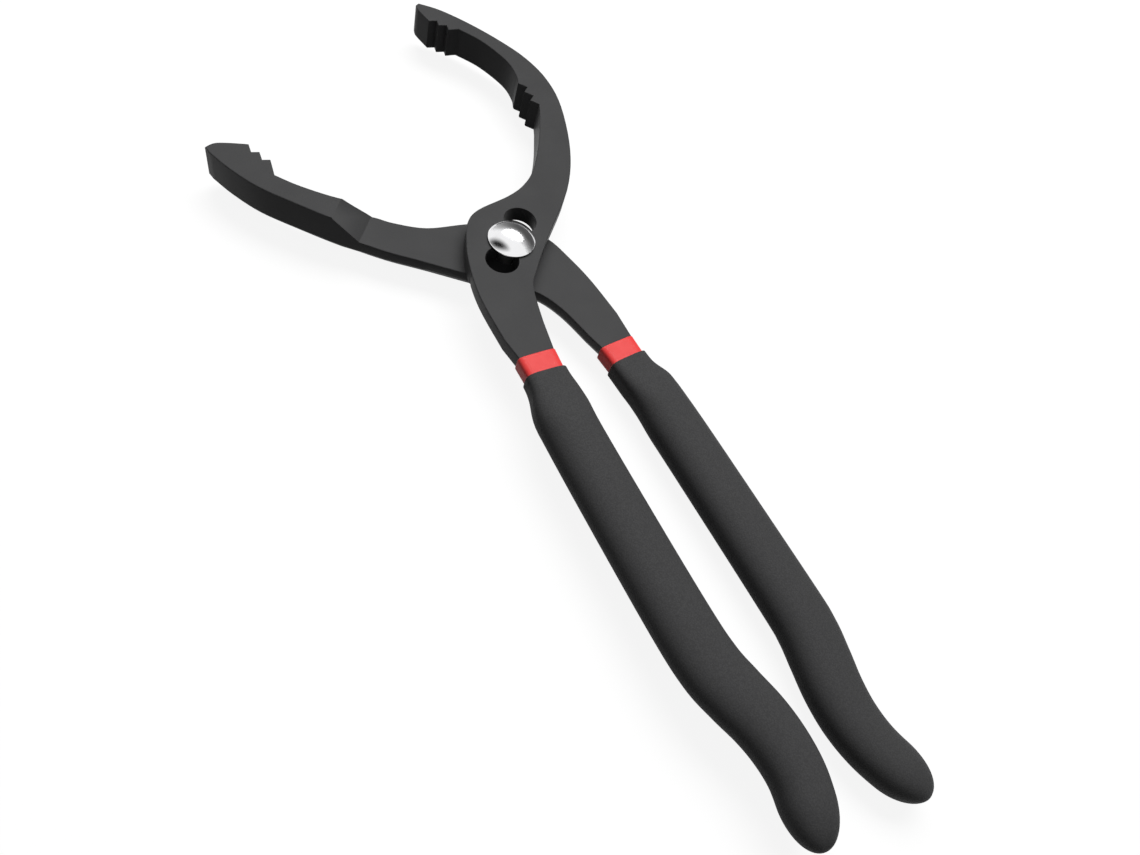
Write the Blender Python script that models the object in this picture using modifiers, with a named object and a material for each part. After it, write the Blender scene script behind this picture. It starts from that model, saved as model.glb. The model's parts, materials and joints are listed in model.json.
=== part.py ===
"""Slip-joint oil filter pliers, lying flat with the jaws towards +Y.

Two lapped levers turn on a flatted bolt, and the bolt slips along a slot of three seats in the
front lever. Each handle has a red dipped liner with a black grip over it.
The origin is on the bolt's axis, on the bolt's lower end. Sizes are in metres.
"""

import math

import bmesh
import bpy
from mathutils import Matrix, Vector, kdtree

MM = 0.001

# Clearances between pieces that touch or slide
SEAT_GAP = 0.3 * MM
SLOT_CLEARANCE = 0.3 * MM
JOURNAL_CLEARANCE = 0.1 * MM
THREAD_CLEARANCE = 0.15 * MM
DIP_GAP = 0.1 * MM

# Levers
HUB_THICKNESS = 5.6 * MM
JAW_THICKNESS = 11.5 * MM
ARM_WIDTH = 11.4 * MM
TANG_WIDTH = 9.6 * MM
TANG_TAPER_LENGTH = 20.0 * MM
TANG_SHORT_OF_GRIP_END = 12.0 * MM

# Forged edges: crisp on the faces, rounder behind, and most of all behind the rear lever's hub and arm.
# The front hub stays flat where it laps the rear one, down to where its arm starts below the bolt's axis.
EDGE_CHAMFER = 0.35 * MM
JAW_BACK_ROUND = 1.2 * MM
ARM_BACK_ROUND = 2.6 * MM
FRONT_ARM_START = 8.0 * MM

# Mouth: the jaws stand at either side of the largest filter, whose middle is placed from the bolt's axis
FILTER_DIAMETER = 95.0 * MM
MOUTH_SIDE = -8.0 * MM
MOUTH_REACH = 62.0 * MM

# Ramps between the lapped hubs and the full-thickness jaws, measured from the bolt's axis
REAR_RAMP_START = 43.3 * MM
REAR_RAMP_RUN = 8.8 * MM
REAR_RAMP_HEADING = math.radians(138.5)
FRONT_RAMP_START = 35.0 * MM
FRONT_RAMP_RUN = 7.0 * MM
FRONT_RAMP_HEADING = math.radians(53.0)

# Bolt, its slot and its nut
SHANK_DIAMETER = 9.9 * MM
SHANK_FLATS = 4.7 * MM
JOURNAL_DIAMETER = 10.0 * MM
THREAD_DIAMETER = 8.0 * MM
HEAD_DIAMETER = 15.0 * MM
HEAD_RIM = 0.4 * MM
HEAD_CROWN = 3.2 * MM
HEAD_RIM_CHAMFER = 0.15 * MM
BOLT_END_CHAMFER = 0.6 * MM
SEAT_PITCH = 9.0 * MM
SEAT_COUNT = 3
SLOT_HEADING = math.radians(44.0)
NUT_ACROSS_FLATS = 13.0 * MM
NUT_THICKNESS = 3.4 * MM
NUT_CHAMFER = 0.7 * MM
NUT_CHAMFER_SLOPE = math.radians(30.0)

# Teeth: a saw row at the back of the front jaw, and stairs at both tips
BACK_TOOTH_COUNT = 3
BACK_TOOTH_PITCH = 4.5 * MM
BACK_TOOTH_DEPTH = 2.3 * MM
BACK_TOOTH_VALLEY = 2.6 * MM
STAIR_COUNT = 2
FRONT_STAIR_TREAD = (2.95 * MM, -0.5 * MM)
FRONT_STAIR_RISER = (-0.5 * MM, -2.5 * MM)
REAR_STAIR_TREAD = (2.3 * MM, -0.6 * MM)
REAR_STAIR_RISER = (-0.4 * MM, -3.3 * MM)

# Handles
LINER_WALL = 0.4 * MM
LINER_CORNER = 0.7 * MM
BAND_LENGTH = 6.5 * MM
GRIP_NECK_WIDTH = 13.2 * MM
GRIP_WIDTH = 17.1 * MM
GRIP_END_WIDTH = 13.8 * MM
GRIP_TAPER_LENGTH = 50.0 * MM
GRIP_THICKNESS = 12.0 * MM
GRIP_NECK_THICKNESS = 8.4 * MM
GRIP_ROUNDNESS = 0.46
GRIP_END_ROUND = 12.0 * MM
GRIP_END_STEPS = 5
FRONT_GRIP_NECK = 1.0 * MM
FRONT_GRIP_SHOULDER = 14.5 * MM
FRONT_GRIP_STRAIGHT = 36.0 * MM
REAR_GRIP_NECK = 3.0 * MM
REAR_GRIP_SHOULDER = 9.0 * MM
REAR_GRIP_STRAIGHT = 47.0 * MM

# Jaw outlines seen from above, in millimetres from the filter's side that the jaw grips
FRONT_JAW_BACK = ((-18.9, 49.7), (-12.4, 44.5), (-5.0, 35.2), (1.7, 24.4), (6.7, 13.6), (8.9, 1.5),
                  (7.1, -12.5))
FRONT_BACK_TEETH = (-2.7, -7.0)
FRONT_JAW_HOLLOW = ((-1.6, 4.6), (-0.9, 10.8), (-2.1, 17.2), (-5.6, 26.0), (-10.7, 33.3))
FRONT_TIP_TEETH = (-19.5, 39.7)
FRONT_NOSE = ((-20.6, 45.4), (-20.8, 47.2), (-20.3, 48.9))
REAR_TIP_EDGE = ((-16.7, -0.5), (-13.7, 0.4), (-9.9, -0.5), (-4.4, -2.6))
REAR_JAW_TOP = ((-1.7, -16.7), (3.9, -23.1), (12.8, -30.9))
REAR_JAW_UNDER = ((0.6, -30.1), (-7.9, -20.0), (-13.2, -10.6), (-16.2, -3.2))

# Hub and arm outlines seen from above, in millimetres from the bolt's axis
FRONT_HUB_BACK = ((38.9, 29.6), (28.3, 13.4), (11.5, -3.1), (2.0, -13.2), (-2.3, -19.0), (-5.6, -31.0))
FRONT_HUB_SIDE = ((-19.9, -33.0), (-19.5, -17.0), (-17.0, -4.6), (-13.6, 4.2), (-9.6, 10.9), (-4.2, 14.4),
                  (7.8, 16.8), (15.2, 19.8), (21.8, 25.2), (30.4, 36.8), (37.4, 48.9))
REAR_HUB_TOP = ((-34.0, 26.2), (-29.0, 22.1), (-20.1, 17.1), (-8.0, 14.9), (2.0, 12.4), (8.8, 8.4),
                (15.3, 1.0), (18.3, -8.8), (20.3, -19.0), (21.6, -33.0))
REAR_HUB_UNDER = ((8.3, -37.0), (5.4, -25.5), (0.8, -17.0), (-8.0, -10.3), (-17.0, -3.1), (-27.0, 5.1),
                  (-36.3, 12.5), (-45.9, 22.0))

# Middle line of each handle in millimetres: from the top of its red band, measured from the bolt's axis,
# and below its straight stretch, measured from the end of that stretch
FRONT_HANDLE_TOP = ((-13.2, -40.5), (-13.9, -52.0), (-15.2, -62.5), (-16.1, -88.0))
FRONT_HANDLE_BEND = ((-0.7, 0.0), (-0.2, -14.0), (1.7, -22.5), (3.9, -30.5), (4.9, -38.0), (4.6, -45.5),
                     (2.6, -53.0), (0.0, -62.1))
REAR_HANDLE_TOP = ((15.6, -42.5), (16.3, -54.5), (17.3, -61.5), (17.9, -69.0), (18.1, -85.0))
REAR_HANDLE_BEND = ((-0.2, 0.0), (-0.7, -10.5), (-2.3, -18.5), (-4.0, -26.5), (-4.6, -34.5), (-3.6, -42.5),
                    (-0.9, -50.5), (3.0, -59.5))

# Heights worked out from the sizes above
REAR_BACK_Z = NUT_THICKNESS + SEAT_GAP
REAR_LAP_Z = REAR_BACK_Z + HUB_THICKNESS
FRONT_LAP_Z = REAR_LAP_Z + SEAT_GAP
FRONT_FACE_Z = FRONT_LAP_Z + HUB_THICKNESS
FRONT_ARM_Z = (FRONT_LAP_Z + FRONT_FACE_Z) / 2
REAR_ARM_Z = (REAR_BACK_Z + REAR_LAP_Z) / 2

CURVE_STEPS = 5
HANDLE_STEPS = 3
EDGE_STEPS = 2
ROUND_SIDES = 48
BORE_SIDES = 40
SECTION_CORNER_STEPS = 3
FULLEST_CORNER = 0.499
CROWN_STEPS = 6
GRIP_END_TURN = math.radians(84.0)
FLAT_ANGLE = math.radians(0.5)
SHARP_ANGLE = math.radians(35.0)
WELD = 0.001 * MM

# Finishes: colour, roughness and metallic value
STEEL_FINISH = ((0.075, 0.075, 0.077), 0.55, 0.3)
CHROME_FINISH = ((0.80, 0.80, 0.80), 0.12, 1.0)
LINER_FINISH = ((0.78, 0.035, 0.032), 0.35, 0.0)
GRIP_FINISH = ((0.055, 0.055, 0.056), 0.7, 0.0)


def clear_scene():
    """Remove what the scene holds and make the two collections."""
    for old in list(bpy.data.objects):
        bpy.data.objects.remove(old, do_unlink=True)
    collections = []
    for name in ("oil_filter_pliers", "cutters"):
        collection = bpy.data.collections.new(name)
        bpy.context.scene.collection.children.link(collection)
        collections.append(collection)
    return collections


PARTS, CUTTERS = clear_scene()


def make_material(name, colour, roughness, metallic):
    """Give a plain Principled material."""
    material = bpy.data.materials.new(name)
    material.use_nodes = True
    shader = material.node_tree.nodes["Principled BSDF"]
    shader.inputs["Base Color"].default_value = (*colour, 1.0)
    shader.inputs["Roughness"].default_value = roughness
    shader.inputs["Metallic"].default_value = metallic
    material.diffuse_color = (*colour, 1.0)
    return material


def add_object(name, mesh, collection):
    """Link a mesh to the scene as a named object."""
    thing = bpy.data.objects.new(name, mesh)
    collection.objects.link(thing)
    return thing


def finish_part(thing, material):
    """Move an object to the parts, dress it and shade it smooth between its sharp edges."""
    for collection in list(thing.users_collection):
        collection.objects.unlink(thing)
    PARTS.objects.link(thing)
    thing.data.materials.clear()
    thing.data.materials.append(material)
    thing.data.shade_smooth()
    thing.data.set_sharp_from_angle(angle=SHARP_ANGLE)
    return thing


def hide_cutter(thing):
    """Keep a cutter out of the picture."""
    thing.hide_render = True
    thing.display_type = "WIRE"
    return thing


def cut(target, cutter, operation="DIFFERENCE"):
    """Take a cutter's shape out of a piece, or keep only what they share, as a live Boolean."""
    modifier = target.modifiers.new("cut_" + cutter.name, "BOOLEAN")
    modifier.operation = operation
    modifier.solver = "EXACT"
    modifier.object = hide_cutter(cutter)


def apply_modifiers(thing):
    """Swap an object's mesh for the one that its modifiers give."""
    bpy.context.view_layer.update()
    graph = bpy.context.evaluated_depsgraph_get()
    mesh = bpy.data.meshes.new_from_object(thing.evaluated_get(graph))
    thing.modifiers.clear()
    thing.data = mesh


def placed(points_mm, origin=(0.0, 0.0)):
    """Points in metres from points in millimetres that are measured from an origin."""
    return [Vector(origin) + Vector(point) * MM for point in points_mm]


def front_jaw(points_mm):
    """Points of the front jaw, measured from the filter's right side."""
    return placed(points_mm, (MOUTH_SIDE + FILTER_DIAMETER / 2, MOUTH_REACH))


def rear_jaw(points_mm):
    """Points of the rear jaw, measured from the filter's left side."""
    return placed(points_mm, (MOUTH_SIDE - FILTER_DIAMETER / 2, MOUTH_REACH))


def handle_line(top_mm, straight, bend_mm):
    """Smooth middle line of a handle: its top, a straight stretch and a bend."""
    top = placed(top_mm)
    stretch_end = top[-1] - Vector((0.0, straight))
    return smooth_run(top + placed(bend_mm, stretch_end), HANDLE_STEPS)


def smooth_run(points, steps=CURVE_STEPS):
    """Points along a smooth curve through a few points."""
    run = []
    for index in range(len(points) - 1):
        before = points[max(index - 1, 0)]
        start = points[index]
        end = points[index + 1]
        after = points[min(index + 2, len(points) - 1)]
        for step in range(steps):
            t = step / steps
            run.append(0.5 * (2 * start + (end - before) * t
                              + (2 * before - 5 * start + 4 * end - after) * t * t
                              + (3 * start - before - 3 * end + after) * t ** 3))
    run.append(points[-1])
    return run


def measure(line):
    """Distance along a line of points, one value for each point."""
    lengths = [0.0]
    for start, end in zip(line, line[1:]):
        lengths.append(lengths[-1] + (end - start).length)
    return lengths


def side_of(line, index):
    """Unit vector to the left of a line at one of its points."""
    before = line[max(index - 1, 0)]
    after = line[min(index + 1, len(line) - 1)]
    along = (after - before).normalized()
    return Vector((-along.y, along.x))


def stairs(corner, tread, riser, count, riser_first):
    """Corner points of a row of stair-shaped teeth."""
    corners = [corner]
    moves = (Vector(riser), Vector(tread)) if riser_first else (Vector(tread), Vector(riser))
    for _ in range(count):
        for move in moves:
            corner = corner + move
            corners.append(corner)
    return corners


def saw_row(first_ridge):
    """Points of the row of saw teeth, which runs towards +Y, with its valleys towards +X."""
    points = []
    for index in range(BACK_TOOTH_COUNT):
        ridge = first_ridge + Vector((0.0, BACK_TOOTH_PITCH * index))
        points.append(ridge + Vector((BACK_TOOTH_DEPTH, -BACK_TOOTH_VALLEY)))
        points.append(ridge)
    return points


def tang_edges(line):
    """Both edges of the steel inside a handle, down to its end."""
    lengths = measure(line)
    steel_end = lengths[-1] - TANG_SHORT_OF_GRIP_END
    left, right = [], []
    for index, point in enumerate(line):
        if lengths[index] > steel_end:
            break
        half = steel_width(lengths[index]) / 2
        left.append(point + side_of(line, index) * half)
        right.append(point - side_of(line, index) * half)
    return left, right


def extrude_outline(name, outline, low, high):
    """Solid plate from a closed outline between two heights."""
    curve = bpy.data.curves.new(name, "CURVE")
    curve.dimensions = "2D"
    curve.fill_mode = "BOTH"
    curve.extrude = (high - low) / 2
    spline = curve.splines.new("POLY")
    spline.points.add(len(outline) - 1)
    for slot, point in zip(spline.points, outline):
        slot.co = (point.x, point.y, 0.0, 1.0)
    spline.use_cyclic_u = True
    sketch = bpy.data.objects.new(name + "_outline", curve)
    CUTTERS.objects.link(sketch)
    sketch.location.z = (low + high) / 2
    bpy.context.view_layer.update()
    graph = bpy.context.evaluated_depsgraph_get()
    mesh = bpy.data.meshes.new_from_object(sketch.evaluated_get(graph))
    mesh.transform(sketch.matrix_world)
    bpy.data.objects.remove(sketch, do_unlink=True)
    work = bmesh.new()
    work.from_mesh(mesh)
    bmesh.ops.remove_doubles(work, verts=work.verts, dist=WELD)
    bmesh.ops.recalc_face_normals(work, faces=work.faces)
    work.to_mesh(mesh)
    work.free()
    return add_object(name, mesh, CUTTERS)


def forge_edges(lever, hard_points, back_round_at):
    """Round a lever's flat faces along their edges: slightly in front, more behind, but not at its teeth."""
    teeth = kdtree.KDTree(len(hard_points))
    for index, point in enumerate(hard_points):
        teeth.insert((point.x, point.y, 0.0), index)
    teeth.balance()
    work = bmesh.new()
    work.from_mesh(lever.data)
    bmesh.ops.dissolve_limit(work, angle_limit=FLAT_ANGLE, verts=work.verts, edges=work.edges)
    weight = work.edges.layers.float.new("bevel_weight_edge")
    for edge in work.edges:
        wall, flat = sorted((face.normal.z for face in edge.link_faces), key=abs)
        if abs(wall) > FLAT_ANGLE or abs(flat) < math.cos(FLAT_ANGLE):
            continue
        middle = (edge.verts[0].co + edge.verts[1].co) / 2
        is_tooth = all(teeth.find((vert.co.x, vert.co.y, 0.0))[2] < WELD for vert in edge.verts)
        size = EDGE_CHAMFER
        if flat < 0.0 and not is_tooth:
            size = back_round_at(middle)
        edge[weight] = size / ARM_BACK_ROUND
    work.to_mesh(lever.data)
    work.free()
    rounding = lever.modifiers.new("forged_edges", "BEVEL")
    rounding.limit_method = "WEIGHT"
    rounding.width = ARM_BACK_ROUND
    rounding.segments = EDGE_STEPS
    rounding.use_clamp_overlap = False


def make_prism(name, profile, depth, matrix):
    """Solid from a profile in local X and Z, as deep as asked along local Y, then placed."""
    mesh = bpy.data.meshes.new(name)
    work = bmesh.new()
    face = work.faces.new([work.verts.new((x, -depth / 2, z)) for x, z in profile])
    grown = bmesh.ops.extrude_face_region(work, geom=[face])
    moved = [item for item in grown["geom"] if isinstance(item, bmesh.types.BMVert)]
    bmesh.ops.translate(work, verts=moved, vec=(0.0, depth, 0.0))
    bmesh.ops.recalc_face_normals(work, faces=work.faces)
    work.to_mesh(mesh)
    work.free()
    mesh.transform(matrix)
    return add_object(name, mesh, CUTTERS)


def make_round(name, low_diameter, high_diameter, low, high, centre=(0.0, 0.0)):
    """Upright cylinder or cone between two heights."""
    mesh = bpy.data.meshes.new(name)
    work = bmesh.new()
    place = Matrix.Translation((centre[0], centre[1], (low + high) / 2))
    bmesh.ops.create_cone(work, cap_ends=True, segments=BORE_SIDES, radius1=low_diameter / 2,
                          radius2=high_diameter / 2, depth=high - low, matrix=place)
    work.to_mesh(mesh)
    work.free()
    return add_object(name, mesh, CUTTERS)


def lap_cutter(name, outline, lap_z, jaw_z, start, run, heading):
    """Block with a sloping end that thins a lever to its hub, up to the ramp of its jaw."""
    reach = max(point.length for point in outline) + JAW_THICKNESS
    beyond = math.copysign(JAW_THICKNESS, jaw_z - lap_z)
    slope = run / (jaw_z - lap_z)
    profile = ((-reach, lap_z), (start, lap_z),
               (start + slope * (jaw_z - lap_z + beyond), jaw_z + beyond), (-reach, jaw_z + beyond))
    return make_prism(name, profile, 2 * reach, Matrix.Rotation(heading, 4, "Z"))


def make_front_lever(line, material):
    """Front lever: hooked jaw, hub with the three-seat slot, and left arm."""
    left, right = tang_edges(line)
    saw_teeth = saw_row(front_jaw((FRONT_BACK_TEETH,))[0])
    tip_start = front_jaw((FRONT_TIP_TEETH,))[0]
    tip_teeth = stairs(tip_start, FRONT_STAIR_TREAD, FRONT_STAIR_RISER, STAIR_COUNT, False)
    outline = (smooth_run(front_jaw(FRONT_JAW_BACK) + placed(FRONT_HUB_BACK)) + left + right[::-1]
               + smooth_run(placed(FRONT_HUB_SIDE)) + saw_teeth + smooth_run(front_jaw(FRONT_JAW_HOLLOW))
               + tip_teeth[::-1] + front_jaw(FRONT_NOSE))
    lever = extrude_outline("front_lever", outline, REAR_BACK_Z, FRONT_FACE_Z)
    cut(lever, lap_cutter("front_lap", outline, FRONT_LAP_Z, REAR_BACK_Z, FRONT_RAMP_START, FRONT_RAMP_RUN,
                          FRONT_RAMP_HEADING))
    apply_modifiers(lever)

    def back_round_at(middle):
        on_hub = middle.z > FRONT_LAP_Z - WELD and middle.y > -FRONT_ARM_START
        return 0.0 if on_hub else JAW_BACK_ROUND

    forge_edges(lever, saw_teeth + tip_teeth, back_round_at)
    along = Vector((math.cos(SLOT_HEADING), math.sin(SLOT_HEADING)))
    seat_diameter = SHANK_DIAMETER + 2 * SLOT_CLEARANCE
    for index in range(SEAT_COUNT):
        centre = along * SEAT_PITCH * (index - (SEAT_COUNT - 1) / 2)
        cut(lever, make_round(f"slot_seat_{index + 1}", seat_diameter, seat_diameter,
                              REAR_BACK_Z, FRONT_FACE_Z + HEAD_CROWN, centre))
    return finish_part(lever, material)


def make_rear_lever(line, material):
    """Rear lever: straight jaw, lapped hub with the bolt's bore, and right arm."""
    left, right = tang_edges(line)
    tip_edge = smooth_run(rear_jaw(REAR_TIP_EDGE))
    tip_teeth = stairs(tip_edge[-1], REAR_STAIR_TREAD, REAR_STAIR_RISER, STAIR_COUNT, True)
    outline = (tip_edge[:-1] + tip_teeth + smooth_run(rear_jaw(REAR_JAW_TOP) + placed(REAR_HUB_TOP)) + left
               + right[::-1] + smooth_run(placed(REAR_HUB_UNDER) + rear_jaw(REAR_JAW_UNDER)))
    jaw_face_z = REAR_BACK_Z + JAW_THICKNESS
    lever = extrude_outline("rear_lever", outline, REAR_BACK_Z, jaw_face_z)
    cut(lever, lap_cutter("rear_lap", outline, REAR_LAP_Z, jaw_face_z, REAR_RAMP_START, REAR_RAMP_RUN,
                          REAR_RAMP_HEADING))
    apply_modifiers(lever)
    towards_jaw = Vector((math.cos(REAR_RAMP_HEADING), math.sin(REAR_RAMP_HEADING)))

    def back_round_at(middle):
        return ARM_BACK_ROUND if middle.xy.dot(towards_jaw) < REAR_RAMP_START else JAW_BACK_ROUND

    forge_edges(lever, tip_edge + tip_teeth, back_round_at)
    bore = JOURNAL_DIAMETER + 2 * JOURNAL_CLEARANCE
    cut(lever, make_round("bolt_bore", bore, bore, REAR_BACK_Z - HUB_THICKNESS, REAR_LAP_Z + HUB_THICKNESS))
    return finish_part(lever, material)


def make_bolt(material):
    """Bolt turned from a profile, with two flats that follow the slot."""
    seat_z = FRONT_FACE_Z + SEAT_GAP
    flat_end_z = (REAR_LAP_Z + FRONT_LAP_Z) / 2
    rim = HEAD_DIAMETER / 2
    thread = THREAD_DIAMETER / 2
    crown_radius = (rim ** 2 + HEAD_CROWN ** 2) / (2 * HEAD_CROWN)
    crown_angle = math.asin(rim / crown_radius)
    top_z = seat_z + HEAD_RIM + HEAD_CROWN
    profile = []
    for step in range(CROWN_STEPS + 1):
        angle = crown_angle * step / CROWN_STEPS
        profile.append((crown_radius * math.sin(angle), top_z - crown_radius * (1 - math.cos(angle))))
    profile += [(rim, seat_z + HEAD_RIM_CHAMFER), (rim - HEAD_RIM_CHAMFER, seat_z),
                (SHANK_DIAMETER / 2, seat_z), (SHANK_DIAMETER / 2, flat_end_z),
                (JOURNAL_DIAMETER / 2, flat_end_z), (JOURNAL_DIAMETER / 2, REAR_BACK_Z),
                (thread, REAR_BACK_Z), (thread, BOLT_END_CHAMFER), (thread - BOLT_END_CHAMFER, 0.0),
                (0.0, 0.0)]
    mesh = bpy.data.meshes.new("pivot_bolt")
    work = bmesh.new()
    points = [work.verts.new((x, 0.0, z)) for x, z in profile]
    for start, end in zip(points, points[1:]):
        work.edges.new((start, end))
    work.to_mesh(mesh)
    work.free()
    bolt = add_object("pivot_bolt", mesh, CUTTERS)
    turn = bolt.modifiers.new("turn", "SCREW")
    turn.angle = math.tau
    turn.steps = ROUND_SIDES
    turn.render_steps = ROUND_SIDES
    turn.use_merge_vertices = True
    turn.merge_threshold = WELD
    for name, side in (("flat_left", 1), ("flat_right", -1)):
        edge = side * SHANK_FLATS / 2
        far = side * HEAD_DIAMETER
        profile = ((-HEAD_DIAMETER, flat_end_z), (HEAD_DIAMETER, flat_end_z),
                   (HEAD_DIAMETER, seat_z), (-HEAD_DIAMETER, seat_z))
        place = Matrix.Rotation(SLOT_HEADING, 4, "Z") @ Matrix.Translation((0.0, (edge + far) / 2, 0.0))
        cut(bolt, make_prism(name, profile, abs(far - edge), place))
    return finish_part(bolt, material)


def make_nut(material):
    """Hexagon nut, chamfered on its outer corners by a cone."""
    mesh = bpy.data.meshes.new("pivot_nut")
    corners = NUT_ACROSS_FLATS / math.cos(math.pi / 6)
    work = bmesh.new()
    place = Matrix.Translation((0.0, 0.0, NUT_THICKNESS / 2)) @ Matrix.Rotation(SLOT_HEADING, 4, "Z")
    bmesh.ops.create_cone(work, cap_ends=True, segments=6, radius1=corners / 2, radius2=corners / 2,
                          depth=NUT_THICKNESS, matrix=place)
    work.to_mesh(mesh)
    work.free()
    nut = add_object("pivot_nut", mesh, CUTTERS)
    widening = 2 / math.tan(NUT_CHAMFER_SLOPE)
    low = -NUT_CHAMFER
    high = NUT_THICKNESS + NUT_CHAMFER
    cut(nut, make_round("nut_chamfer", corners + widening * (low - NUT_CHAMFER),
                        corners + widening * (high - NUT_CHAMFER), low, high), "INTERSECT")
    bore = THREAD_DIAMETER + 2 * THREAD_CLEARANCE
    cut(nut, make_round("nut_bore", bore, bore, -NUT_THICKNESS, 2 * NUT_THICKNESS))
    return finish_part(nut, material)


def section(width, thickness, corner):
    """Rounded rectangle as (across, up) pairs."""
    corner = min(corner, FULLEST_CORNER * width, FULLEST_CORNER * thickness)
    points = []
    for quarter, (sx, sz) in enumerate(((1, 1), (-1, 1), (-1, -1), (1, -1))):
        for step in range(SECTION_CORNER_STEPS + 1):
            angle = (quarter + step / SECTION_CORNER_STEPS) * math.pi / 2
            points.append((sx * (width / 2 - corner) + corner * math.cos(angle),
                           sz * (thickness / 2 - corner) + corner * math.sin(angle)))
    return points


def loft_along(name, stations, height):
    """Solid skinned over sections along a line; a station is (point, side, width, thickness, corner)."""
    mesh = bpy.data.meshes.new(name)
    work = bmesh.new()
    rings = []
    for point, side, width, thickness, corner in stations:
        rings.append([work.verts.new((point.x + side.x * across, point.y + side.y * across, height + up))
                      for across, up in section(width, thickness, corner)])
    count = len(rings[0])
    for first, second in zip(rings, rings[1:]):
        for index in range(count):
            following = (index + 1) % count
            work.faces.new((first[index], first[following], second[following], second[index]))
    work.faces.new(rings[0])
    work.faces.new(rings[-1])
    bmesh.ops.recalc_face_normals(work, faces=work.faces)
    work.to_mesh(mesh)
    work.free()
    return add_object(name, mesh, CUTTERS)


def steel_width(length):
    """Width of the steel at a distance along a handle's line."""
    taper = min(max(length, 0.0) / TANG_TAPER_LENGTH, 1.0)
    return ARM_WIDTH + (TANG_WIDTH - ARM_WIDTH) * taper


def ease(share):
    """Share of a change that starts and ends gently."""
    share = min(max(share, 0.0), 1.0)
    return share * share * (3 - 2 * share)


def point_at(line, lengths, length):
    """Point and side of a line at a distance along it."""
    index = 0
    while index < len(line) - 2 and length > lengths[index + 1]:
        index += 1
    share = (length - lengths[index]) / (lengths[index + 1] - lengths[index])
    side = side_of(line, index).lerp(side_of(line, index + 1), share).normalized()
    return line[index].lerp(line[index + 1], share), side


def handle_stations(line, distances, size_at, lead=0.0):
    """Loft stations at distances along a handle, with a straight lead before the first if asked."""
    lengths = measure(line)
    stations = []
    for length in distances:
        point, side = point_at(line, lengths, length)
        stations.append((point, side, *size_at(length)))
    if lead:
        point, side, *size = stations[0]
        stations.insert(0, (point + Vector((-side.y, side.x)) * lead, side, *size))
    return stations


def make_handle(label, line, height, neck, shoulder, liner_material, grip_material):
    """Red liner over the steel, and the black grip over the liner."""
    lengths = measure(line)
    whole = lengths[-1]
    pocket_end = whole - TANG_SHORT_OF_GRIP_END + DIP_GAP
    liner_end = pocket_end + LINER_WALL
    round_start = whole - GRIP_END_ROUND

    def between(start, end):
        inside = [length for length in lengths if start + SEAT_GAP < length < end - SEAT_GAP]
        return [start] + inside + [end]

    def pocket(length):
        return steel_width(length) + 2 * DIP_GAP, HUB_THICKNESS + 2 * DIP_GAP, DIP_GAP

    def liner_outside(length):
        grow = 2 * (DIP_GAP + LINER_WALL)
        return steel_width(length) + grow, HUB_THICKNESS + grow, LINER_CORNER

    def liner_room(length):
        width, thickness, corner = liner_outside(length)
        return width + 2 * DIP_GAP, thickness + 2 * DIP_GAP, corner

    def grip_outside(length):
        swell = ease((length - BAND_LENGTH - neck) / shoulder)
        taper = ease((length - whole + GRIP_TAPER_LENGTH) / GRIP_TAPER_LENGTH)
        width = GRIP_NECK_WIDTH + (GRIP_WIDTH - GRIP_NECK_WIDTH) * swell
        width += (GRIP_END_WIDTH - GRIP_WIDTH) * taper
        thickness = GRIP_NECK_THICKNESS + (GRIP_THICKNESS - GRIP_NECK_THICKNESS) * swell
        into_round = max(length - round_start, 0.0) / GRIP_END_ROUND
        shrink = math.sqrt(1 - into_round * into_round)
        return width * shrink, thickness * shrink, GRIP_ROUNDNESS * thickness * shrink

    round_turns = [step / GRIP_END_STEPS * GRIP_END_TURN for step in range(1, GRIP_END_STEPS + 1)]
    round_lengths = [round_start + GRIP_END_ROUND * math.sin(turn) for turn in round_turns]
    liner_run = handle_stations(line, between(0.0, liner_end), liner_outside)
    pocket_run = handle_stations(line, between(0.0, pocket_end), pocket, BAND_LENGTH)
    grip_run = handle_stations(line, between(BAND_LENGTH, round_start) + round_lengths, grip_outside)
    room_run = handle_stations(line, between(BAND_LENGTH, liner_end + DIP_GAP), liner_room, BAND_LENGTH)
    liner = loft_along(f"{label}_liner", liner_run, height)
    cut(liner, loft_along(f"{label}_liner_pocket", pocket_run, height))
    grip = loft_along(f"{label}_grip", grip_run, height)
    cut(grip, loft_along(f"{label}_grip_pocket", room_run, height))
    finish_part(liner, liner_material)
    finish_part(grip, grip_material)


def main():
    """Build every piece of the pliers."""
    steel = make_material("black_steel", *STEEL_FINISH)
    chrome = make_material("chrome", *CHROME_FINISH)
    red_dip = make_material("red_dip", *LINER_FINISH)
    black_grip = make_material("black_grip", *GRIP_FINISH)
    front_line = handle_line(FRONT_HANDLE_TOP, FRONT_GRIP_STRAIGHT, FRONT_HANDLE_BEND)
    rear_line = handle_line(REAR_HANDLE_TOP, REAR_GRIP_STRAIGHT, REAR_HANDLE_BEND)
    make_front_lever(front_line, steel)
    make_rear_lever(rear_line, steel)
    make_bolt(chrome)
    make_nut(chrome)
    make_handle("front", front_line, FRONT_ARM_Z, FRONT_GRIP_NECK, FRONT_GRIP_SHOULDER, red_dip, black_grip)
    make_handle("rear", rear_line, REAR_ARM_Z, REAR_GRIP_NECK, REAR_GRIP_SHOULDER, red_dip, black_grip)


main()
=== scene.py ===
"""Looks of the slip-joint oil filter pliers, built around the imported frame.

Both levers get softened edges over their own solids, the bolt and the nut are turned finely, and the
red liners and black grips are skinned over sections along each handle. All lengths are in metres.
"""

import json
import logging
import math
from collections.abc import Callable, Iterable, Mapping, Sequence
from dataclasses import dataclass, field
from enum import Enum
from typing import Any

import bmesh
import bpy
from mathutils import Matrix, Vector

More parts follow.
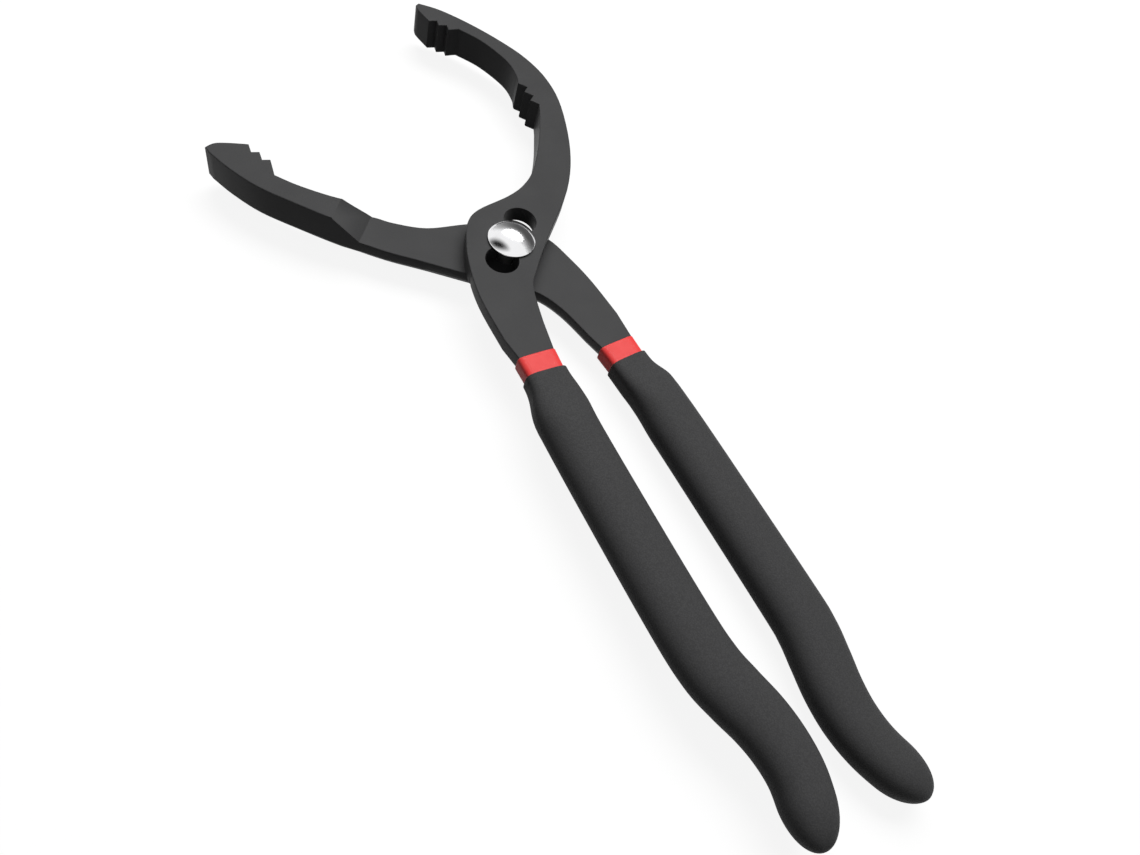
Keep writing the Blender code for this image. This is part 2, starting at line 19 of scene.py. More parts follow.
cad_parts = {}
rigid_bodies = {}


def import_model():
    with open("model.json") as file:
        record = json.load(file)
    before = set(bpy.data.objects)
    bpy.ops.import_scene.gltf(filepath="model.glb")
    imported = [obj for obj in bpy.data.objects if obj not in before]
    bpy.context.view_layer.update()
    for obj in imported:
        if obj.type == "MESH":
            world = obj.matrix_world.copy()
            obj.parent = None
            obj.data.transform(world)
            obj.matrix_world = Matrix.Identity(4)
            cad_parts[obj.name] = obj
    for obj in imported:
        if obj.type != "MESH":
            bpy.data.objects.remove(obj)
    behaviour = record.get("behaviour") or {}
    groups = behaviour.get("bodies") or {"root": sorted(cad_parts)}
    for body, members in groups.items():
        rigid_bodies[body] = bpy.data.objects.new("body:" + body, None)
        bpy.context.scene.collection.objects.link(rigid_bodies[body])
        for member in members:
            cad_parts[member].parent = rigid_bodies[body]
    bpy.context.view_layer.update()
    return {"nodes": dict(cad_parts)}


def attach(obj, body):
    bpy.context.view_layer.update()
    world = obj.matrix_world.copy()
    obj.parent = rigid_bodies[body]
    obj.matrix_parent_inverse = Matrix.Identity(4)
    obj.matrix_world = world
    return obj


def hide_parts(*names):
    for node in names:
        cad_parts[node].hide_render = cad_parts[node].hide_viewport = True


LOG = logging.getLogger("oil_filter_pliers")

MM = 0.001
WELD = 0.001 * MM
UP = Vector((0.0, 0.0, 1.0))
NO_CLIP = 1.0
SHARP_EDGE = math.radians(38.0)

Colour = tuple[float, float, float]
Plan = tuple[float, float]
Size = tuple[float, float, float, float]


class Side(Enum):
    """The two levers, by the body of the frame that each belongs to."""

    FRONT = "front"
    REAR = "rear"


class Wire:
    """An output socket that takes part in Python arithmetic through Math nodes."""

    def __init__(self, board: "NodeBoard", socket: bpy.types.NodeSocket) -> None:
        """Hold a socket and the board that its new nodes go on."""
        self.board = board
        self.socket = socket

    def sibling(self, name: str) -> "Wire":
        """Another output of the same node."""
        return Wire(self.board, self.board.find(self.socket.node.outputs, name))

    def math(self, operation: str, *values: Any) -> "Wire":
        """A Math node whose first value is this wire."""
        inputs = dict(enumerate((self, *values)))
        return self.board.add("ShaderNodeMath", {"operation": operation}, inputs)

    def _reflected(self, operation: str, value: float) -> "Wire":
        """A Math node whose second value is this wire."""
        return self.board.add("ShaderNodeMath", {"operation": operation}, {0: value, 1: self})

    def __add__(self, other: Any) -> "Wire":
        """Sum with a wire or a number."""
        return self.math("ADD", other)

    def __radd__(self, other: float) -> "Wire":
        """Sum with a number on the left."""
        return self.math("ADD", other)

    def __sub__(self, other: Any) -> "Wire":
        """Difference from a wire or a number."""
        return self.math("SUBTRACT", other)

    def __rsub__(self, other: float) -> "Wire":
        """Difference of a number and this wire."""
        return self._reflected("SUBTRACT", other)

    def __mul__(self, other: Any) -> "Wire":
        """Product with a wire or a number."""
        return self.math("MULTIPLY", other)

    def __rmul__(self, other: float) -> "Wire":
        """Product with a number on the left."""
        return self.math("MULTIPLY", other)

    def __truediv__(self, other: Any) -> "Wire":
        """Quotient by a wire or a number."""
        return self.math("DIVIDE", other)

    def __rtruediv__(self, other: float) -> "Wire":
        """Quotient of a number by this wire."""
        return self._reflected("DIVIDE", other)

    def __pow__(self, other: Any) -> "Wire":
        """Power of this wire."""
        return self.math("POWER", other)


class NodeBoard:
    """A node tree that is filled by code."""

    def __init__(self, tree: bpy.types.NodeTree) -> None:
        """Empty the tree and hold it."""
        self.tree = tree
        self.tree.nodes.clear()

    @staticmethod
    def find(sockets: Any, key: str | int) -> bpy.types.NodeSocket:
        """Look a socket up by its place, or by its name among those in use.

        Args:
            sockets: A node's inputs or outputs.
            key: The socket's number or name.

        Returns:
            The socket.
        """
        if isinstance(key, int):
            return sockets[key]
        return next(socket for socket in sockets if socket.name == key and socket.enabled)

    def add(self, kind: str, settings: Mapping[str, Any] | None = None,
            inputs: Mapping[str | int, Any] | None = None, output: str | int = 0) -> Wire | None:
        """Add one node.

        Args:
            kind: The node's type.
            settings: Properties that are set first; "stops" fills a colour ramp.
            inputs: Values or wires by socket name or number.
            output: The output that is handed back.

        Returns:
            The chosen output as a wire, or None for a node that has none.
        """
        node = self.tree.nodes.new(kind)
        for name, value in (settings or {}).items():
            if name == "stops":
                self._set_stops(node.color_ramp, value)
            else:
                setattr(node, name, value)
        for key, value in (inputs or {}).items():
            socket = self.find(node.inputs, key)
            if isinstance(value, Wire):
                self.tree.links.new(value.socket, socket)
            else:
                socket.default_value = value
        return Wire(self, self.find(node.outputs, output)) if node.outputs else None

    @staticmethod
    def _set_stops(ramp: bpy.types.ColorRamp, stops: Sequence[tuple[float, float]]) -> None:
        """Give a ramp its (place, grey) stops.

        Args:
            ramp: The ramp to fill.
            stops: Two or more stops in rising order.
        """
        while len(ramp.elements) < len(stops):
            ramp.elements.new(1.0)
        for element, (place, grey) in zip(ramp.elements, stops):
            element.position = place
            element.color = (grey, grey, grey, 1.0)

    def mix(self, factor: Wire, first: Colour | Wire, second: Colour) -> Wire:
        """A colour between two colours."""
        start = first if isinstance(first, Wire) else (*first, 1.0)
        return self.add("ShaderNodeMix", {"data_type": "RGBA"},
                        {"Factor": factor, "A": start, "B": (*second, 1.0)}, "Result")

    def vector(self, operation: str, inputs: Mapping[str | int, Any]) -> Wire:
        """A Vector Math node."""
        return self.add("ShaderNodeVectorMath", {"operation": operation}, inputs)

    def ramp(self, factor: Wire, low: float, high: float) -> Wire:
        """A value that rises from 0 to 1 while another goes from low to high."""
        return self.add("ShaderNodeValToRGB", {"stops": ((low, 0.0), (high, 1.0))}, {"Fac": factor})

    def noise(self, place: Wire, scale: float, detail: float = 2.0) -> Wire:
        """Cloudy value between 0 and 1, at a number of spots per metre."""
        return self.add("ShaderNodeTexNoise", None,
                        {"Vector": place, "Scale": scale, "Detail": detail}, "Fac")

    def bump(self, height: Wire, depth: float, strength: float) -> Wire:
        """Normal of a surface whose relief has a depth in metres."""
        return self.add("ShaderNodeBump", None, {"Height": height, "Distance": depth, "Strength": strength})


def new_material(name: str) -> tuple[bpy.types.Material, NodeBoard]:
    """Start a node material.

    Args:
        name: Its name.

    Returns:
        The material and the board that its nodes go on.
    """
    material = bpy.data.materials.new(name)
    material.use_nodes = True
    return material, NodeBoard(material.node_tree)


def object_place(board: NodeBoard) -> Wire:
    """Object coordinates, which are metres in the shared frame."""
    return board.add("ShaderNodeTexCoord", output="Object")


@dataclass(frozen=True)
class SatinSteel:
    """Satin black coating on forged steel: a fine grain, with faint clouds where it lies thicker."""

    thin: Colour = (0.056, 0.056, 0.057)
    thick: Colour = (0.065, 0.065, 0.066)
    grain_scale: float = 2600.0
    grain_detail: float = 3.0
    grain_share: float = 0.4
    cloud_scale: float = 70.0
    shade_low: float = 0.35
    shade_high: float = 0.65
    grain_depth: float = 0.02 * MM
    grain_strength: float = 0.3
    smoothest: float = 0.36
    roughest: float = 0.50
    specular: float = 0.05

    def material(self) -> bpy.types.Material:
        """Build the material.

        Returns:
            The material.
        """
        material, board = new_material("satin_black_steel")
        place = object_place(board)
        grain = board.noise(place, self.grain_scale, self.grain_detail)
        cloud = board.noise(place, self.cloud_scale)
        patches = cloud * (1.0 - self.grain_share) + grain * self.grain_share
        shade = board.ramp(patches, self.shade_low, self.shade_high)
        roughness = self.smoothest + (self.roughest - self.smoothest) * grain
        surface = board.add("ShaderNodeBsdfPrincipled", None, {
            "Base Color": board.mix(shade, self.thin, self.thick),
            "Roughness": roughness,
            "Specular IOR Level": self.specular,
            "Normal": board.bump(grain, self.grain_depth, self.grain_strength),
        })
        board.add("ShaderNodeOutputMaterial", None, {"Surface": surface})
        return material


@dataclass(frozen=True)
class PolishedChrome:
    """Bright plating with faint polishing marks and a slight haze, painted dark and made duller inside the
    joint as painted shade in the slot.
    """

    bright: Colour = (0.88, 0.88, 0.89)
    hazy: Colour = (0.85, 0.85, 0.86)
    haze_scale: float = 260.0
    haze_low: float = 0.4
    haze_high: float = 0.7
    mark_scale: float = 2600.0
    mark_stretch: Sequence[float] = (1.0, 1.0, 0.1)
    mark_depth: float = 0.002 * MM
    mark_strength: float = 0.05
    # Painted shade colour for the shank and journal inside the joint.
    joint_shade: Colour = (0.22, 0.22, 0.22)
    joint_dulling: float = 0.3
    joint_bottom: float = 3.5 * MM
    joint_top: float = 15.5 * MM
    smoothest: float = 0.11
    roughest: float = 0.15

    def material(self) -> bpy.types.Material:
        """Build the material.

        Returns:
            The material.
        """
        material, board = new_material("polished_chrome")
        place = object_place(board)
        haze = board.ramp(board.noise(place, self.haze_scale), self.haze_low, self.haze_high)
        stretched = board.vector("MULTIPLY", {0: place, 1: self.mark_stretch})
        marks = board.noise(stretched, self.mark_scale)
        height = board.add("ShaderNodeSeparateXYZ", None, {0: place}, "Z")
        # Inside the joint the plating is painted dark: painted shade in the slot, which also hides the
        # shank's glint there.
        in_joint = height.math("GREATER_THAN", self.joint_bottom) * height.math("LESS_THAN", self.joint_top)
        plating = board.mix(haze, self.bright, self.hazy)
        roughness = self.smoothest + (self.roughest - self.smoothest) * haze + in_joint * self.joint_dulling
        surface = board.add("ShaderNodeBsdfPrincipled", None, {
            "Base Color": board.mix(in_joint, plating, self.joint_shade),
            "Roughness": roughness,
            "Metallic": 1.0,
            "Normal": board.bump(marks, self.mark_depth, self.mark_strength),
        })
        board.add("ShaderNodeOutputMaterial", None, {"Surface": surface})
        return material


@dataclass(frozen=True)
class DippedRed:
    """Glossy red vinyl, with the slight ripple that a dipped coat dries to."""

    bright: Colour = (0.96, 0.086, 0.083)
    deep: Colour = (0.88, 0.058, 0.056)
    cloud_scale: float = 300.0
    ripple_scale: float = 650.0
    ripple_depth: float = 0.03 * MM
    ripple_strength: float = 0.16
    smoothest: float = 0.28
    roughest: float = 0.38
    specular: float = 0.08
    coat: float = 0.04
    coat_roughness: float = 0.12

    def material(self) -> bpy.types.Material:
        """Build the material.

        Returns:
            The material.
        """
        material, board = new_material("dipped_red_vinyl")
        place = object_place(board)
        cloud = board.noise(place, self.cloud_scale)
        ripple = board.noise(place, self.ripple_scale)
        surface = board.add("ShaderNodeBsdfPrincipled", None, {
            "Base Color": board.mix(cloud, self.bright, self.deep),
            "Roughness": self.smoothest + (self.roughest - self.smoothest) * ripple,
            "Specular IOR Level": self.specular,
            "Coat Weight": self.coat,
            "Coat Roughness": self.coat_roughness,
            "Normal": board.bump(ripple, self.ripple_depth, self.ripple_strength),
        })
        board.add("ShaderNodeOutputMaterial", None, {"Surface": surface})
        return material


@dataclass(frozen=True)
class GrainedGrip:
    """Matt black vinyl with a fine leathery grain: small raised pebbles between creases that are painted
    darker, as painted shade in the low spots.
    """

    # Painted shade colour for the grain's creases.
    crease_shade: Colour = (0.054, 0.054, 0.055)
    pebble: Colour = (0.066, 0.066, 0.067)
    pebble_scale: float = 2300.0
    pebble_smoothness: float = 0.6
    wrinkle_scale: float = 900.0
    wrinkle_detail: float = 4.0
    wrinkle_share: float = 0.35
    shade_low: float = 0.40
    shade_high: float = 0.72
    grain_depth: float = 0.08 * MM
    grain_strength: float = 0.5
    smoothest: float = 0.50
    roughest: float = 0.70
    specular: float = 0.06

    def material(self) -> bpy.types.Material:
        """Build the material.

        Returns:
            The material.
        """
        material, board = new_material("grained_black_vinyl")
        place = object_place(board)
        creases = board.add("ShaderNodeTexVoronoi", {"feature": "SMOOTH_F1"}, {
            "Vector": place, "Scale": self.pebble_scale, "Smoothness": self.pebble_smoothness}, "Distance")
        wrinkles = board.noise(place, self.wrinkle_scale, self.wrinkle_detail)
        relief = (1.0 - creases) * (1.0 - self.wrinkle_share) + wrinkles * self.wrinkle_share
        # Colour follows the relief, so the creases take the painted shade and the pebbles the lighter tone.
        shade = board.ramp(relief, self.shade_low, self.shade_high)
        surface = board.add("ShaderNodeBsdfPrincipled", None, {
            "Base Color": board.mix(shade, self.crease_shade, self.pebble),
            "Roughness": self.roughest - (self.roughest - self.smoothest) * relief,
            "Specular IOR Level": self.specular,
            "Normal": board.bump(relief, self.grain_depth, self.grain_strength),
        })
        board.add("ShaderNodeOutputMaterial", None, {"Surface": surface})
        return material


def add_object(name: str, mesh: bpy.types.Mesh) -> bpy.types.Object:
    """Put a mesh in the scene as an object at the origin.

    Args:
        name: The object's name.
        mesh: Its mesh.

    Returns:
        The object.
    """
    thing = bpy.data.objects.new(name, mesh)
    bpy.context.scene.collection.objects.link(thing)
    return thing


def apply_modifiers(thing: bpy.types.Object) -> None:
    """Swap an object's mesh for the one that its modifiers give.

    Args:
        thing: The object, which keeps no modifiers.
    """
    bpy.context.view_layer.update()
    graph = bpy.context.evaluated_depsgraph_get()
    mesh = bpy.data.meshes.new_from_object(thing.evaluated_get(graph), depsgraph=graph)
    thing.modifiers.clear()
    thing.data = mesh


def face_outwards(mesh: bpy.types.Mesh) -> None:
    """Turn all faces outwards, shade them smooth and keep the sharp edges crisp.

    Args:
        mesh: A closed mesh, changed in place.
    """
    work = bmesh.new()
    work.from_mesh(mesh)
    bmesh.ops.remove_doubles(work, verts=work.verts, dist=WELD)
    bmesh.ops.recalc_face_normals(work, faces=work.faces)
    for face in work.faces:
        face.smooth = True
    for edge in work.edges:
        edge.smooth = edge.calc_face_angle(0.0) < SHARP_EDGE
    work.to_mesh(mesh)
    work.free()


def fit(thing: bpy.types.Object, node: str, body: str) -> None:
    """Let a piece stand for a node of the frame.

    Args:
        thing: The finished piece.
        node: The node that it replaces.
        body: The body that it moves with.
    """
    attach(thing, body)
    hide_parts(node)
    LOG.info("%s: %d faces, moves with %s", thing.name, len(thing.data.polygons), body)


@dataclass(frozen=True)
class Station:
    """One section of a skin: a rounded box, squarer as squareness grows, cut flat at a small clip."""

    place: Vector
    side: Vector
    lift: Vector
    width: float
    thickness: float
    squareness: float = 2.0
    clip: float = NO_CLIP


class SkinLoft:
    """Geometry Nodes tree that skins a row of sections, whose ends close where a section has no width."""

    VALUES = ("width", "thickness", "squareness", "clip")
    VECTORS = ("side", "lift")

    def __init__(self) -> None:
        """Build the tree once for all skins."""
        self.tree = bpy.data.node_groups.new("section_skin", "GeometryNodeTree")
        self.sockets: dict[str, str] = {}
        for name, kind in (("Rail", "NodeSocketGeometry"), ("Around", "NodeSocketInt"),
                           ("Finish", "NodeSocketMaterial")):
            item = self.tree.interface.new_socket(name, in_out="INPUT", socket_type=kind)
            self.sockets[name] = item.identifier
        self.tree.interface.new_socket("Skin", in_out="OUTPUT", socket_type="NodeSocketGeometry")
        self._fill(NodeBoard(self.tree))

    def _fill(self, board: NodeBoard) -> None:
        """Lay a grid out as stations by turns, and move it onto the sections.

        Args:
            board: The tree's board.
        """
        rail = board.add("NodeGroupInput", output="Rail")
        around = rail.sibling("Around")
        count = board.add("GeometryNodeAttributeDomainSize", {"component": "MESH"}, {"Geometry": rail},
                          "Point Count")
        grid = board.add("GeometryNodeMeshGrid", None, {
            "Size X": count - 1, "Size Y": 1.0, "Vertices X": count, "Vertices Y": around + 1}, "Mesh")
        along = board.add("ShaderNodeSeparateXYZ", None, {0: board.add("GeometryNodeInputPosition")}, "X")
        station = along + count * 0.5
        step = ((along.sibling("Y") + 0.5) * around + 0.5).math("FLOOR").math("MODULO", around)
        turn = (step + 0.5) * math.tau / around

        def sampled(kind: str, field_wire: Wire) -> Wire:
            """Value of the rail at this point's station."""
            return board.add("GeometryNodeSampleIndex", {"data_type": kind, "domain": "POINT"},
                             {"Geometry": rail, "Value": field_wire, "Index": station}, "Value")

        def named(kind: str, name: str) -> Wire:
            """Attribute of the rail at this point's station."""
            return sampled(kind, board.add("GeometryNodeInputNamedAttribute", {"data_type": kind},
                                           {"Name": name}, "Attribute"))

        width, thickness, squareness, clip = (named("FLOAT", name) for name in self.VALUES)
        side, lift = (named("FLOAT_VECTOR", name) for name in self.VECTORS)
        place = sampled("FLOAT_VECTOR", board.add("GeometryNodeInputPosition"))
        cosine = turn.math("COSINE")
        sine = turn.math("SINE")
        power = 2.0 / squareness
        across = cosine.math("SIGN") * cosine.math("ABSOLUTE") ** power * width * 0.5
        over = sine.math("SIGN") * sine.math("ABSOLUTE") ** power * thickness * 0.5
        over = over.math("MINIMUM", clip).math("MAXIMUM", clip * -1.0)
        sideways = board.vector("SCALE", {"Vector": side, "Scale": across})
        lifted = board.vector("SCALE", {"Vector": lift, "Scale": over})
        moved = board.vector("ADD", {0: place, 1: board.vector("ADD", {0: sideways, 1: lifted})})
        skin = board.add("GeometryNodeSetPosition", None, {"Geometry": grid, "Position": moved})
        skin = board.add("GeometryNodeMergeByDistance", None, {"Geometry": skin, "Distance": WELD})
        skin = board.add("GeometryNodeRealizeInstances", None, {"Geometry": skin})
        skin = board.add("GeometryNodeSetMaterial", None,
                         {"Geometry": skin, "Material": rail.sibling("Finish")})
        board.add("NodeGroupOutput", None, {"Skin": skin})

    def skin(self, name: str, stations: Sequence[Station], around: int,
             material: bpy.types.Material) -> bpy.types.Object:
        """Skin a row of sections.

        Args:
            name: The piece's name.
            stations: Sections from one closed end to the other.
            around: Points round each section.
            material: The finish.

        Returns:
            The piece as a plain closed mesh.
        """
        mesh = bpy.data.meshes.new(name)
        links = [(index, index + 1) for index in range(len(stations) - 1)]
        mesh.from_pydata([station.place for station in stations], links, [])
        for value in self.VALUES:
            data = mesh.attributes.new(value, "FLOAT", "POINT").data
            data.foreach_set("value", [getattr(station, value) for station in stations])
        for vector in self.VECTORS:
            data = mesh.attributes.new(vector, "FLOAT_VECTOR", "POINT").data
            data.foreach_set("vector", [part for station in stations for part in getattr(station, vector)])
        thing = add_object(name, mesh)
        modifier = thing.modifiers.new("section_skin", "NODES")
        modifier.node_group = self.tree
        modifier[self.sockets["Around"]] = around
        modifier[self.sockets["Finish"]] = material
        apply_modifiers(thing)
        face_outwards(thing.data)
        return thing


@dataclass
class Lever:
    """A forged lever: its own solid, with the edges left by the cuts softened as the forging's are."""

    side: Side
    steel: bpy.types.Material
    edge_softening: float = 0.14 * MM
    soft_edge_angle: float = math.radians(48.0)
    flat_angle: float = math.radians(0.3)
    edge_segments: int = 2
    face_weight: int = 100

    def build(self, nodes: Mapping[str, bpy.types.Object]) -> bpy.types.Object:
        """Make the lever from a copy of its solid.

        Args:
            nodes: The frame's nodes by name.

        Returns:
            The lever's object.
        """
        node = f"{self.side.value}_lever"
        mesh = nodes[node].data.copy()
        mesh.name = f"{node}_forging"
        work = bmesh.new()
        work.from_mesh(mesh)
        bmesh.ops.remove_doubles(work, verts=work.verts, dist=WELD)
        bmesh.ops.dissolve_limit(work, angle_limit=self.flat_angle, verts=work.verts, edges=work.edges)
        for face in work.faces:
            face.smooth = True
        for edge in work.edges:
            edge.smooth = True
        work.to_mesh(mesh)
        work.free()
        thing = add_object(mesh.name, mesh)
        bevel = thing.modifiers.new("soft_edges", "BEVEL")
        bevel.limit_method = "ANGLE"
        bevel.angle_limit = self.soft_edge_angle
        bevel.width = self.edge_softening
        bevel.segments = self.edge_segments
        level = thing.modifiers.new("flat_faces", "WEIGHTED_NORMAL")
        level.weight = self.face_weight
        apply_modifiers(thing)
        self.dress(thing)
        fit(thing, node, self.side.value)
        return thing

    def dress(self, thing: bpy.types.Object) -> None:
        """Give the lever its coating."""
        thing.data.materials.clear()
        thing.data.materials.append(self.steel)


def rounded_corner(corner: Sequence[Plan], steps: int) -> list[Plan]:
    """Points of a curve that rounds a corner.

    Args:
        corner: Where the rounding starts, the corner itself, and where the rounding ends.
        steps: Stretches of the curve.

    Returns:
        Points from the first to the last.
    """
    start, middle, end = (Vector(point) for point in corner)
    points = []
    for step in range(steps + 1):
        share = step / steps
        points.append(tuple(start.lerp(middle, share).lerp(middle.lerp(end, share), share)))
    return points


@dataclass
class Pivot:
    """The bolt that the levers turn on, and its nut."""

    chrome: bpy.types.Material
    slot_heading: float = math.radians(44.0)
    head_top: float = 19.09 * MM
    head_seat: float = 15.5 * MM
    head_diameter: float = 15.0 * MM
    head_crown: float = 3.2 * MM
    head_edge: float = 0.16 * MM
    shank_diameter: float = 9.9 * MM
    shank_flats: float = 4.7 * MM
    shank_end: float = 9.45 * MM
    journal_diameter: float = 10.0 * MM
    journal_end: float = 3.7 * MM
    thread_diameter: float = 8.0 * MM
    end_chamfer: float = 0.6 * MM
    crown_steps: int = 24
    edge_steps: int = 6
    around: int = 160
    nut_flats: float = 13.0 * MM
    nut_thickness: float = 3.4 * MM
    nut_chamfer: float = 0.7 * MM
    nut_slope: float = math.radians(30.0)
    nut_bore: float = 8.3 * MM
    nut_mouth: float = 0.4 * MM
    nut_rings: int = 12
    nut_around: int = 180

    def build(self, loft: SkinLoft) -> None:
        """Make the bolt and the nut.

        Args:
            loft: The tree that skins the bolt.
        """
        bolt = loft.skin("pivot_bolt_turned", self._bolt_stations(), self.around, self.chrome)
        fit(bolt, "pivot_bolt", "pivot")
        nut = self._nut()
        self.dress(nut)
        fit(nut, "pivot_nut", "pivot")

    def dress(self, thing: bpy.types.Object) -> None:
        """Give a piece its plating."""
        thing.data.materials.append(self.chrome)

    def _bolt_profile(self) -> Iterable[tuple[float, float, bool]]:
        """Outline of the bolt, from the crown's top to the bolt's end.

        Returns:
            Rows of diameter, height and whether the flats cut it.
        """
        rim = self.head_diameter / 2
        radius = (rim ** 2 + self.head_crown ** 2) / (2 * self.head_crown)
        widest = math.asin((rim - self.head_edge) / radius)
        for step in range(self.crown_steps):
            angle = widest * step / self.crown_steps
            yield 2 * radius * math.sin(angle), self.head_top - radius * (1 - math.cos(angle)), False
        crown_end = self.head_top - radius * (1 - math.cos(widest))
        rim_top = crown_end - self.head_edge * math.tan(widest)
        upper = ((rim - self.head_edge, crown_end), (rim, rim_top), (rim, rim_top - self.head_edge / 2))
        lower = ((rim, self.head_seat + self.head_edge), (rim, self.head_seat),
                 (rim - self.head_edge, self.head_seat))
        for corner in (upper, lower):
            for reach, height in rounded_corner(corner, self.edge_steps):
                yield 2 * reach, height, False
        for flat in (False, True):
            yield self.shank_diameter, self.head_seat, flat
        for flat in (True, False):
            yield self.shank_diameter, self.shank_end, flat
        for diameter, height in (
                (self.journal_diameter, self.shank_end), (self.journal_diameter, self.journal_end),
                (self.thread_diameter, self.journal_end), (self.thread_diameter, self.end_chamfer),
                (self.thread_diameter - 2 * self.end_chamfer, 0.0), (0.0, 0.0)):
            yield diameter, height, False

    def _bolt_stations(self) -> list[Station]:
        """Work out the bolt's sections.

        Returns:
            Sections down its axis.
        """
        side = Vector((math.cos(self.slot_heading), math.sin(self.slot_heading), 0.0))
        lift = UP.cross(side)
        return [Station(UP * height, side, lift, diameter, diameter,
                        clip=self.shank_flats / 2 if flat else NO_CLIP)
                for diameter, height, flat in self._bolt_profile()]

    def _nut(self) -> bpy.types.Object:
        """Hexagon nut, whose outer corners are chamfered by a cone.

        Returns:
            The nut's object.
        """
        half = self.nut_flats / 2
        corner = half / math.cos(math.pi / 6)
        bore = self.nut_bore / 2
        rings: list[Callable[[float], tuple[float, float]]] = []

        def hexagon(height: float) -> Callable[[float], tuple[float, float]]:
            """Ring of the hexagon at a height, drawn in by the chamfer's cone."""
            cone = corner + (height - self.nut_chamfer) / math.tan(self.nut_slope)
            return lambda turn: (min(half / math.cos(turn % (math.pi / 3) - math.pi / 6), cone), height)

        def circle(radius: float, height: float) -> Callable[[float], tuple[float, float]]:
            """Round ring of the bore."""
            return lambda turn: (radius, height)

        for step in range(self.nut_rings + 1):
            rings.append(hexagon(self.nut_chamfer * step / self.nut_rings))
        rings.append(hexagon(self.nut_thickness))
        rings.append(circle(bore + self.nut_mouth, self.nut_thickness))
        rings.append(circle(bore, self.nut_thickness - self.nut_mouth))
        rings.append(circle(bore, self.nut_mouth))
        rings.append(circle(bore + self.nut_mouth, 0.0))
        mesh = bpy.data.meshes.new("pivot_nut_hexagon")
        work = bmesh.new()
        loops = []
        for ring in rings:
            loop = []
            for index in range(self.nut_around):
                turn = math.tau * index / self.nut_around
                radius, height = ring(turn)
                heading = turn + self.slot_heading
                loop.append(work.verts.new((radius * math.cos(heading), radius * math.sin(heading), height)))
            loops.append(loop)
        for first, second in zip(loops, loops[1:] + loops[:1]):
            for index, vertex in enumerate(first):
                work.faces.new((first[index - 1], vertex, second[index], second[index - 1]))
        work.to_mesh(mesh)
        work.free()
        face_outwards(mesh)
        return add_object(mesh.name, mesh)


def smooth_run(points: Sequence[Vector], steps: int) -> list[Vector]:
    """Points along a smooth curve through a few points.

    Args:
        points: The points that it passes.
        steps: New points for each stretch.

    Returns:
        The curve's points.
    """
    run = []
    for index in range(len(points) - 1):
        before = points[max(index - 1, 0)]
        start = points[index]
        end = points[index + 1]
        after = points[min(index + 2, len(points) - 1)]
        for step in range(steps):
            t = step / steps
            run.append(0.5 * (2 * start + (end - before) * t
                              + (2 * before - 5 * start + 4 * end - after) * t * t
                              + (3 * start - before - 3 * end + after) * t ** 3))
    run.append(points[-1])
    return run


def ease(share: float) -> float:
    """Share of a change that starts and ends gently."""
    share = min(max(share, 0.0), 1.0)
    return share * share * (3 - 2 * share)


